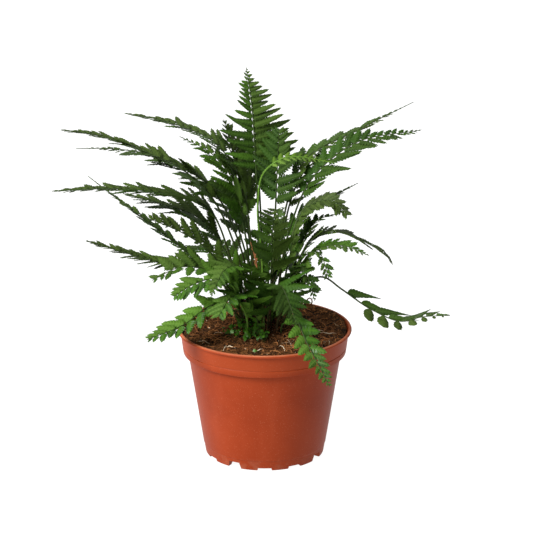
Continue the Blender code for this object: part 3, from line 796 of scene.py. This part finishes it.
def lump(draw, size):
    """A rough crumb: an octahedron whose corners are moved and whose faces are split once."""
    corners = [Vector(c) for c in ((1, 0, 0), (-1, 0, 0), (0, 1, 0), (0, -1, 0), (0, 0, 1), (0, 0, -1))]
    faces = []
    middles = {}
    points = list(corners)

    def middle(a, b):
        key = (min(a, b), max(a, b))
        if key not in middles:
            middles[key] = len(points)
            points.append((points[a] + points[b]).normalized())
        return middles[key]

    for a, b, c in ((0, 2, 4), (2, 1, 4), (1, 3, 4), (3, 0, 4), (2, 0, 5), (1, 2, 5), (3, 1, 5), (0, 3, 5)):
        ab, bc, ca = middle(a, b), middle(b, c), middle(c, a)
        faces += [(a, ab, ca), (b, bc, ab), (c, ca, bc), (ab, bc, ca)]
    stretch = Vector((draw.uniform(0.6, 1.5), draw.uniform(0.6, 1.2), draw.uniform(0.5, 0.9)))
    turn = draw.uniform(0, 360)
    along, across = polar(stretch.x, turn), polar(stretch.y, turn + 90)
    made = []
    for point in points:
        point = point * size * draw.uniform(0.75, 1.25)
        made.append(along * point.x + across * point.y + Vector((0, 0, stretch.z * point.z)))
    return made, faces


def strand(draw, place, length, radius, rise, curl, heading=None):
    """Places and radii of a loose fibre or root that lies on the peat or arches from it."""
    heading = draw.uniform(0, 360) if heading is None else heading
    places, radii = [], []
    here = Vector((place.x, place.y, 0))
    for i in range(STRAND_STEPS + 1):
        share = i / STRAND_STEPS
        height = soil_height(here.x, here.y) + rise * math.sin(math.pi * share) + 0.2
        places.append(Vector((here.x, here.y, height)))
        radii.append(radius * (1 - 0.55 * abs(2 * share - 1)))
        heading += draw.uniform(-curl, curl)
        here += polar(length / STRAND_STEPS, heading)
    return places, radii


def inside(places):
    return max(p.xy.length for p in places) < COLLAR_RADIUS - WALL - 1.5


STRAND_STEPS = 6
# Fibres and roots on the peat: how many, number of their finish, lengths, radii and greatest rise.
STRANDS = (
    (520, 1, (4, 13), (0.16, 0.36), 1.4),
    (560, 2, (4, 15), (0.16, 0.40), 2.0),
    (26, 4, (9, 24), (0.16, 0.30), 2.2),
)
# Cream roots that lie in plain sight: distance and bearing of one end, length and heading.
PALE_ROOTS = (
    (56, 233, 15, 300),
    (59, 236, 9, 340),
    (51, 343, 17, 8),
    (63, 262, 10, 20),
)
# A fibre that curls up beside the lip at the back: distance, bearing, radius of its curl and how far
# round it goes.
RIM_CURL = (69, 56, 2.3, 300)
CURL_STEPS = 14


def somewhere(draw):
    """A place drawn on the peat."""
    return polar(SOIL_SPREAD * math.sqrt(draw.random()), draw.uniform(0, 360))


def add_lump(body, draw, size, sunk, slot):
    """A crumb that lies somewhere on the peat, sunk in it by that share of its size."""
    place = somewhere(draw)
    points, faces = lump(draw, size)
    here = Vector((place.x, place.y, soil_height(place.x, place.y) - sunk * size))
    body.add([p + here for p in points], faces, slot, (0, 0, draw.random()))


def add_curl(body):
    distance, bearing, radius, whole_turn = RIM_CURL
    foot = polar(distance, bearing)
    foot.z = soil_height(foot.x, foot.y)
    places = [foot - Vector((0, 0, 2))]
    for i in range(CURL_STEPS + 1):
        turn = math.radians(whole_turn * i / CURL_STEPS)
        aside, rise = radius * (1 - math.cos(turn)), 1 + radius + 1.4 * radius * math.sin(turn)
        places.append(foot + Vector((aside, 0, rise)))
    body.add(*tube(places, [0.6] * len(places), 6), 2, (0, 0, 0.3))


def make_soil():
    draw = random.Random(SEED)
    body = Body()
    add_peat(body)
    for _ in range(CRUMBS):
        size = draw.uniform(0.35, 1.5) * draw.uniform(0.5, 1.0)
        add_lump(body, draw, size, -0.25, draw.choice((1, 1, 2, 2, 3)))
    for _ in range(PALE_CRUMBS):
        add_lump(body, draw, draw.uniform(0.3, 0.75), -0.3, 4)
    for count, slot, lengths, radii, rise in STRANDS:
        for _ in range(count):
            place = somewhere(draw)
            length, radius = draw.uniform(*lengths), draw.uniform(*radii)
            places, radii_there = strand(draw, place, length, radius, draw.uniform(0, rise), 34)
            if inside(places):
                body.add(*tube(places, radii_there, 4), slot, (0, 0, draw.random()))
    for distance, bearing, length, heading in PALE_ROOTS:
        places, radii = strand(draw, polar(distance, bearing), length, 0.42, 1.2, 22, heading)
        body.add(*tube(places, radii, 6), 4, (0, 0, 0.9))
    add_curl(body)
    finishes = [
        peat(),
        plain_bits("dark peat fibre", (0.026, 0.012, 0.005), (0.13, 0.052, 0.018), 0.9),
        plain_bits("red-brown fibre", (0.12, 0.042, 0.013), (0.40, 0.165, 0.055), 0.85),
        plain_bits("bark crumb", (0.07, 0.030, 0.012), (0.26, 0.115, 0.045), 0.9),
        plain_bits("cream root", (0.42, 0.28, 0.16), (0.75, 0.62, 0.45), 0.7),
    ]
    body.piece("potting_mix", finishes, 50, "soil", slot="potting_soil")


# Fronds


class Rib:
    """The smooth curve of a frond's stem and rib, with its own directions at each distance."""

    SPAN_STEPS = 12

    def __init__(self, frond):
        self.frond = frond
        self.ahead = polar(1, frond.heading)
        self.left = polar(1, frond.heading + 90)
        route = [(0, STEM_Z - STEM_DEPTH), (0, STEM_Z + STEM_STANDS), *frond.route]
        knots = [Vector((distance, z)) for distance, z in route]
        self.flat = self.curve(knots)
        self.lengths = [0.0]
        for a, b in zip(self.flat, self.flat[1:]):
            self.lengths.append(self.lengths[-1] + (b - a).length)
        self.length = self.lengths[-1]

    def curve(self, knots):
        spans = [(b - a).length for a, b in zip(knots, knots[1:])]
        chords = [(b - a) / span for a, b, span in zip(knots, knots[1:], spans)]
        slopes = [chords[0], chords[0]]
        for i in range(2, len(knots) - 1):
            slopes.append((chords[i - 1] * spans[i] + chords[i] * spans[i - 1]) / (spans[i - 1] + spans[i]))
        slopes.append(chords[-1])
        points = []
        for i, span in enumerate(spans):
            for step in range(self.SPAN_STEPS):
                t = step / self.SPAN_STEPS
                points.append(
                    knots[i] * (1 + 2 * t) * (1 - t) ** 2
                    + slopes[i] * (span * t * (1 - t) ** 2)
                    + knots[i + 1] * t * t * (3 - 2 * t)
                    + slopes[i + 1] * (span * t * t * (t - 1))
                )
        return [*points, knots[-1]]

    def point(self, distance):
        distance = min(max(distance, 0.0), self.length)
        i = next(i for i, length in enumerate(self.lengths[1:]) if length >= distance - 1e-6)
        share = (distance - self.lengths[i]) / (self.lengths[i + 1] - self.lengths[i])
        flat = self.flat[i].lerp(self.flat[i + 1], share)
        return polar(*self.frond.foot) + self.ahead * flat.x + Vector((0, 0, flat.y))

    def station(self, distance):
        """Point, direction towards the tip, direction to the left and upper side."""
        step = 0.5
        back, front = self.point(distance - step), self.point(distance + step)
        ahead = (front - back).normalized()
        up = ahead.cross(self.left).normalized()
        left = up.cross(ahead)
        rolled = leant(left, up, math.radians(self.frond.roll))
        return self.point(distance), ahead, rolled, ahead.cross(rolled)

    def radius(self, distance):
        share = distance / self.length
        if share < self.frond.bare:
            return STEM_RADIUS + (RIB_RADIUS - STEM_RADIUS) * share / self.frond.bare
        return RIB_RADIUS + (TIP_RADIUS - RIB_RADIUS) * (share - self.frond.bare) / (1 - self.frond.bare)


# Degrees by which a leaflet is turned up, and shares of its full length, that are tried in turn.
BENDS = (0, 14, -14, 28, -28, 42, -42)
LENGTHS = (1.0, 0.85, 0.7, 0.5)
# Outline that tests what a leaflet would touch, as (share of length, share of its half width).
TESTED = (
    (0.0, 0.5),
    (0.12, 1.2),
    (0.46, 1.0),
    (0.73, 0.6),
    (1.04, 0.0),
    (0.75, -0.5),
    (0.5, -0.9),
    (0.15, -1.0),
    (0.0, -0.5),
)


class Leaflet:
    """A toothed blade on one side of a rib, between two stations."""

    def __init__(self, rib, start, end, side, draw):
        self.side = side
        distance = (start + end) / 2
        middle, self.ahead, left, self.up = rib.station(distance)
        self.out = left * side
        self.root = middle + self.out * 0.5 * rib.radius(distance)
        self.lift = rib.frond.lift + draw.uniform(-LIFT_VARIES, LIFT_VARIES)
        self.droop = DROOP + draw.uniform(-DROOP_VARIES, DROOP_VARIES)
        share = (distance / rib.length - rib.frond.bare) / (1 - rib.frond.bare)
        lean = rib.frond.leans[side < 0] * (1 - TIP_LEAN * share)
        self.lean = math.radians(min(lean + draw.uniform(-LEAN_VARIES, LEAN_VARIES), MOST_LEAN))
        self.along = distance / rib.length
        varied = draw.uniform(1 - LENGTH_VARIES, 1 + LENGTH_VARIES)
        self.full = rib.frond.reach * rib.frond.sides[side < 0] * outline(share, rib.frond.taper) * varied
        wide = max(0.5 * rib.frond.broad[side < 0] * (end - start), rib.frond.least * self.full)
        self.form = rib.frond.forms[side < 0]
        self.half_width = min(wide, MOST_WIDTHS[self.form] * self.full)
        self.tilt = math.radians(SHINGLE + draw.uniform(-TILT_VARIES, TILT_VARIES))
        self.twist = math.radians(draw.uniform(-TWIST_VARIES, TWIST_VARIES))
        self.tone = draw.random()
        self.seed = draw.random()

    def bend(self, degrees, share):
        """Turns the leaflet up by that angle and gives it that share of its full length."""
        out = leant(self.out, self.up, math.radians(self.lift + degrees))
        self.axis = leant(self.ahead, out, self.lean)
        self.across = (self.ahead - self.axis * self.ahead.dot(self.axis)).normalized()
        self.normal = self.across.cross(self.axis) * self.side
        self.length = self.full * share

    def place(self, share, width):
        """Points on the blade: share runs from root to tip and width is a share of the half width.

        None is so far to the side that it lies across the rib.
        """
        share, width = np.asarray(share, float), np.asarray(width, float)
        ways = (self.axis, self.ahead, self.across, self.normal)
        axis, ahead, across, normal = (np.array(way) for way in ways)
        wide = np.minimum(width * self.half_width, OFF_RIB * share * self.length * math.tan(self.lean))
        turn = self.tilt + self.twist * share
        along = np.multiply.outer(share * self.length, axis)
        hooked = np.multiply.outer(HOOK * share**2 * self.length, ahead)
        aside = np.multiply.outer(wide * np.cos(turn), across)
        rise = wide * np.sin(turn) - self.droop * share**2 * self.length - CUPPING * np.abs(wide) ** 1.5
        return np.array(self.root) + along + hooked + aside + np.multiply.outer(rise, normal)

    def spread(self, offsets):
        """The blade moved along its normal by each offset, to test what it would touch."""
        ring = self.place(*zip(*TESTED, (0.4, 0.0)))
        middle = len(TESTED)
        points, faces = [], []
        for offset in offsets:
            low = len(points)
            points += [Vector(p) + self.normal * offset for p in ring]
            faces += [(low + i, low + (i + 1) % middle, low + middle) for i in range(middle)]
        return points, faces

    def touches(self, trees):
        mine = BVHTree.FromPolygons(*self.spread((-CLEARANCE, 0, CLEARANCE)))
        return any(mine.overlap(tree) for tree in trees)

    def settle(self, trees):
        """Bends the leaflet clear of what is already there, or shortens it where no bend is enough."""
        for share in LENGTHS:
            for degrees in BENDS:
                self.bend(degrees, share)
                if not self.touches(trees):
                    return
        self.bend(0, LENGTHS[-1] / 2)


def outline(share, taper):
    """Length of the leaflets along the blade as a share of the longest."""
    if share < WIDEST:
        return FIRST_LENGTH + (1 - FIRST_LENGTH) * math.sin(math.pi / 2 * share / WIDEST)
    return ((1 - share) / (1 - WIDEST)) ** taper


def leaflets_of(rib, draw):
    frond = rib.frond
    start = frond.bare * rib.length
    blade = rib.length - start
    shares = [1 - (1 - i / (frond.pairs + 0.6)) ** TIP_CROWDING for i in range(frond.pairs + 1)]
    gaps = [start + blade * share for share in shares]
    leaflets = []
    for i, (a, b) in enumerate(zip(gaps, gaps[1:])):
        for side in (1, -1):
            shift = STAGGER * side * (b - a)
            leaflet = Leaflet(rib, a + shift, b + shift, side, draw)
            if i >= frond.missing[side < 0]:
                leaflets.append(leaflet)
    return leaflets


def stem_tree(rib):
    """The stem and rib as a square tube, for the leaflets of other fronds to keep clear of."""
    return BVHTree.FromPolygons(*stem_tube(rib, 40, 4))


def leaflet_tree(leaflets):
    points, faces = [], []
    for leaflet in leaflets:
        more, triangles = leaflet.spread((0,))
        faces += [tuple(i + len(points) for i in face) for face in triangles]
        points += more
    return BVHTree.FromPolygons(points, faces)


def grow(fronds):
    """The rib and the leaflets of each frond, the leaflets bent clear of one another."""
    ribs = [Rib(frond) for frond in fronds]
    leaflets = [leaflets_of(rib, random.Random(SEED + i)) for i, rib in enumerate(ribs)]
    stems = [stem_tree(rib) for rib in ribs]
    still = [BVHTree.FromPolygons(*turned(pot_profile(), 48))]
    blades = []
    for i in range(len(ribs)):
        trees = still + stems[:i] + stems[i + 1 :] + blades
        for leaflet in leaflets[i]:
            leaflet.settle(trees)
        blades.append(leaflet_tree(leaflets[i]))
    return list(zip(ribs, leaflets))


# A tooth's outline from its root to the next: share of its length, width before it is cut, how much of
# the cut it has, and distance from a vein.
TOOTH = (
    (0.12, 1.0, 0.42, 0.85),
    (0.52, 0.90, 0.0, 0.7),
    (1.08, 1.04, 0.0, 0.0),
    (1.01, 1.0, 0.62, 0.7),
    (1.0, 1.0, 1.0, 1.0),
)


class Pattern:
    """A leaflet's flat pattern: its points, its faces, and where its veins run."""

    def __init__(self, form, teeth, cut):
        self.form = form
        self.at, self.faces = [], []  # (share, width, height, thick, distance from a vein)
        ends = [0.03 + 0.97 * i / (teeth + 0.8) for i in range(teeth + 1)]
        midrib = [self.point(max(0.0, end - 0.03), 0, 0.0, 1.0, 0.0) for end in ends]
        tip = self.point(1.0, 0, 0.0, 0.0, 0.0)
        for side in (1, -1):
            self.half(side, ends, midrib, tip, cut)

    def point(self, *values):
        self.at.append(values)
        return len(self.at) - 1

    def width(self, share, side):
        """Half width of the leaflet as a share of the widest. An eared one has an ear at its root, on the
        side towards the frond's tip."""
        if self.form == "round":
            return 2 * math.sqrt(max(0.0, share * (1 - share)))
        if self.form == "slender":
            return 1.4 * math.sin(math.pi / 2 * min(1.0, (share + 0.03) / 0.2)) * (1 - share) ** 1.2
        ear = 0.28 * math.exp(-(((share - 0.10) / 0.09) ** 2)) if side > 0 else 0.0
        root = 0.75 + 0.25 * math.sin(math.pi / 2 * min(1.0, share / 0.22))
        return (root + ear) * max(0.0, 1 - share) ** 0.54 * (1.0 if side > 0 else 0.88)

    def half(self, side, ends, midrib, tip, cut):
        def edge(share, depth, vein):
            return self.point(share, side * self.width(share, side) * depth, 0.0, 0.0, vein)

        low = edge(ends[0], 0.85, 0.9)
        for i, (a, b) in enumerate(zip(ends, ends[1:])):
            step = b - a
            deep = cut * (1 - 0.25 * a)
            rim = []
            for at, wide, part, vein in TOOTH:
                rim.append(edge(min(a + at * step, 0.99), wide - part * deep, vein))
            inner = side * self.width(a + 0.6 * step, side) * 0.52
            heart = self.point(a + 0.62 * step, inner, 0.09, 0.8, 0.0)
            self.fan(heart, [midrib[i], low, *rim, midrib[i + 1]], side)
            low = rim[-1]
        self.fan(midrib[-1], [low, tip], side)

    def fan(self, middle, ring, side):
        ends = ring[1:] + ring[:1] if len(ring) > 2 else ring[1:]
        for a, b in zip(ring, ends):
            self.faces.append((middle, b, a) if side > 0 else (middle, a, b))


@functools.cache
def pattern(form, teeth, cut):
    return Pattern(form, teeth, cut)


def add_leaflet(body, leaflet, cut):
    """A closed blade with a knife edge. Its upper and lower sides have the first and second finish."""
    teeth = max(2, min(MOST_TEETH, round(leaflet.length / TOOTH_SPACING)))
    shape = pattern(leaflet.form, teeth, cut)
    share, width, height, thick, vein = np.array(shape.at).T
    uneven, ragged = np.random.default_rng(int(1e6 * leaflet.seed)).uniform(-0.5, 0.5, (2, len(share)))
    middle = leaflet.place(share, width * (1 + RAGGED * ragged))
    height = height + CRUMPLE * uneven * (np.abs(width) > 0.2)
    middle += np.outer(height * leaflet.half_width, leaflet.up)
    half = np.outer(thick * HALF_THICKNESS, leaflet.normal)
    has_two = thick > 0
    below = np.arange(len(share))
    below[has_two] = len(share) + np.arange(has_two.sum())
    points = np.concatenate([middle + half, (middle - half)[has_two]])
    upper = [face if leaflet.side > 0 else face[::-1] for face in shape.faces]
    faces = upper + [tuple(int(below[i]) for i in face[::-1]) for face in upper]
    slots = [0] * len(upper) + [1] * len(upper)
    info = np.stack([vein, np.abs(width), np.full(len(share), leaflet.tone)], axis=1)
    blade = np.concatenate([info, info[has_two]])
    step = np.stack([np.full(len(share), leaflet.along), share, 0 * share], axis=1)
    growth = np.concatenate([step, step[has_two]])
    if leaflet.side * leaflet.normal.dot(leaflet.up) < 0:
        slots = slots[::-1]
    body.add(points, faces, slots, blade, growth)


def stem_tube(rib, steps, sides):
    distances = [rib.length * i / steps for i in range(steps + 1)]
    return tube([rib.point(d) for d in distances], [rib.radius(d) for d in distances], sides)


def add_stem(body, rib):
    along = [i / STEM_STEPS for i in range(STEM_STEPS + 1) for _ in range(STEM_SIDES)] + [1.0]
    points, faces = stem_tube(rib, STEM_STEPS, STEM_SIDES)
    body.add(points, faces, 2, growth=[(share, 0, 0) for share in along])


def add_scales(body, rib, draw):
    """Small brown papery scales at the foot of the stem."""
    for _ in range(SCALES):
        distance = STEM_DEPTH + 1 + 26 * draw.random() ** 1.6
        place, ahead, left, up = rib.station(distance)
        out = leant(left, up, draw.uniform(0, math.tau))
        root = place + out * 0.85 * rib.radius(distance)
        length = draw.uniform(2.2, 4.6)
        axis = (ahead + out * draw.uniform(0.15, 0.7)).normalized()
        across = axis.cross(out).normalized() * draw.uniform(0.35, 0.6)
        normal = across.cross(axis).normalized() * 0.08
        middle, tip = root + axis * 0.4 * length, root + axis * length + out * 0.25
        points = [root, middle + across, tip, middle - across, middle + normal, middle - normal]
        faces = [(0, 1, 4), (1, 2, 4), (2, 3, 4), (3, 0, 4), (1, 0, 5), (2, 1, 5), (3, 2, 5), (0, 3, 5)]
        body.add(points, faces, 3, (0, 0, draw.random()))


SPROUT_DRAWS = 36
MOSS_CLUMPS = 20
MOSS_SIDES = 10
LAST_CLUMP = (62, 263)  # distance and bearing of the one nearest the viewer
LEANING_STEM = Frond(
    "leaning_stem", "young", (33, 243), 198, ((0.5, 134), (8, 152), (13, 165), (25, 178)), 0.98, 0, 0
)


def sprout(draw):
    """A short new frond at the crown. Its leaflets are small and set close."""
    bearing = draw.uniform(0, 360)
    tall, far = draw.uniform(6, 30), draw.uniform(6, 16)
    low = STEM_Z + STEM_STANDS + 1
    route = ((0.4 * far, low + 0.6 * tall), (far, low + tall), (1.6 * far, low + 0.8 * tall))
    foot, heading = (draw.uniform(5, 29), bearing), bearing + draw.uniform(-50, 50)
    look = draw.choice(("mid", "bright", "bright", "young"))
    return Frond("sprout", look, foot, heading, route, 0.25, draw.uniform(5, 10), 6, draw.uniform(-30, 30))


def add_round_leaf(body, draw, foot, height, size):
    """A round mossy leaflet on a thread-like stalk."""
    ground = Vector((foot.x, foot.y, soil_height(foot.x, foot.y)))
    middle = ground + around(draw, 0.6 * height, height)
    body.add(*tube([ground - Vector((0, 0, 1)), middle], [0.15, 0.12], 4), 2, (0, 0, 0.5), (1, 0, 0))
    normal = (Vector((0, -0.8, 1)) + around(draw, 0.9)).normalized()
    side = normal.orthogonal().normalized()
    other = normal.cross(side)
    points = []
    for i in range(MOSS_SIDES):
        far = size * draw.uniform(0.85, 1.1)
        points.append(middle + far * leant(side, other, math.tau * i / MOSS_SIDES))
    points += [middle + 0.22 * size * normal, middle - 0.12 * size * normal]
    faces = cap(MOSS_SIDES, 0, MOSS_SIDES) + flipped(cap(MOSS_SIDES + 1, 0, MOSS_SIDES))
    body.add(points, faces, 0, (0.5, 0.5, draw.random()), (0.5, 0.5, 0))


def make_moss(finishes):
    """Clumps of round leaflets in front of the crown, most of them on the left."""
    draw = random.Random(SEED + 60)
    body = Body()
    for _ in range(MOSS_CLUMPS):
        clump = polar(draw.uniform(20, 44), draw.gauss(249, 13))
        tall = draw.uniform(3, 14)
        for _ in range(draw.randint(5, 11)):
            foot = clump + around(draw, 3.5)
            add_round_leaf(body, draw, foot, tall * draw.uniform(0.3, 1), draw.uniform(0.8, 1.9))
    for _ in range(3):
        foot = polar(*LAST_CLUMP) + around(draw, 1.5)
        add_round_leaf(body, draw, foot, draw.uniform(1, 2), draw.uniform(1.0, 1.5))
    body.piece("moss", finishes, 60, slot="fern_leaf")


def make_sprouts(finishes):
    """Short new fronds between the stems, and one bare young stem that leans to the left.

    New ones are drawn for each look, and those that have it are made.
    """
    draw = random.Random(SEED + 50)
    for look in ("mid", "bright", "young"):
        body = Body()
        for i, frond in enumerate([LEANING_STEM, *(sprout(draw) for _ in range(SPROUT_DRAWS))]):
            if frond.look != look:
                continue
            rib = Rib(frond)
            for leaflet in leaflets_of(rib, random.Random(SEED + i)):
                leaflet.bend(0, 1)
                add_leaflet(body, leaflet, frond.cut)
            add_stem(body, rib)
        body.piece("sprouts_" + look, finishes[look][:3], 60, slot="fern_leaf")


def make_fronds():
    finishes = frond_finishes()
    for i, (rib, leaflets) in enumerate(grow(FRONDS)):
        frond = rib.frond
        body = Body()
        for leaflet in leaflets:
            add_leaflet(body, leaflet, frond.cut)
        add_stem(body, rib)
        add_scales(body, rib, random.Random(SEED + 100 + i))
        slot = "withered_leaf" if frond.look == "withered" else "fern_leaf"
        body.piece("leafy_" + frond.name, finishes[frond.look], 60, "frond_" + frond.name, slot=slot)
    make_sprouts(finishes)
    make_moss(finishes["bright"][:3])


# Floor, light and camera


def make_floor():
    mesh = bpy.data.meshes.new("floor")
    corners = [(x * FLOOR_REACH, y * FLOOR_REACH, 0) for x, y in ((-1, -1), (1, -1), (1, 1), (-1, 1))]
    mesh.from_pydata(corners, [], [(0, 1, 2, 3)])
    finish = Finish("pale floor", (0.9, 0.9, 0.9), 0.9)
    finish.set("Base Color", (0.12, 0.12, 0.12))
    finish.set("Emission Color", (1, 1, 1))
    finish.set("Emission Strength", FLOOR_GLOW)
    mesh.materials.append(finish.material)
    floor = linked("floor", mesh)


def make_light():
    world = bpy.data.worlds.new("studio")
    world.use_nodes = True
    background = world.node_tree.nodes["Background"]
    background.inputs["Color"].default_value = (1, 1, 1, 1)
    background.inputs["Strength"].default_value = WORLD_STRENGTH
    bpy.context.scene.world = world
    bpy.context.scene.view_settings.view_transform = "Standard"
    for name, energy, spread, elevation, bearing in LIGHTS:
        data = bpy.data.lights.new(name, "SUN")
        data.energy = energy
        data.angle = math.radians(spread)
        towards = polar(math.cos(math.radians(elevation)), bearing, math.sin(math.radians(elevation)))
        linked(name, data).rotation_euler = towards.to_track_quat("Z", "Y").to_euler()


def make_camera():
    data = bpy.data.cameras.new("camera")
    data.sensor_width = SENSOR
    data.lens = SENSOR * CAMERA_DISTANCE / (PHOTO_PIXELS * MM_PER_PIXEL)
    data.shift_x = (PHOTO_PIXELS / 2 - AXIS_PIXEL) / PHOTO_PIXELS
    camera = linked("camera", data)
    elevation = math.radians(CAMERA_ELEVATION)
    back = Vector((0, -math.cos(elevation), math.sin(elevation)))
    camera.location = MM * (Vector((0, 0, AIM_HEIGHT)) + back * CAMERA_DISTANCE)
    camera.rotation_euler = back.to_track_quat("Z", "Y").to_euler()
    bpy.context.scene.camera = camera


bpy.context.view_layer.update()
make_camera()
make_light()
make_floor()
make_pot()
make_soil()
make_fronds()
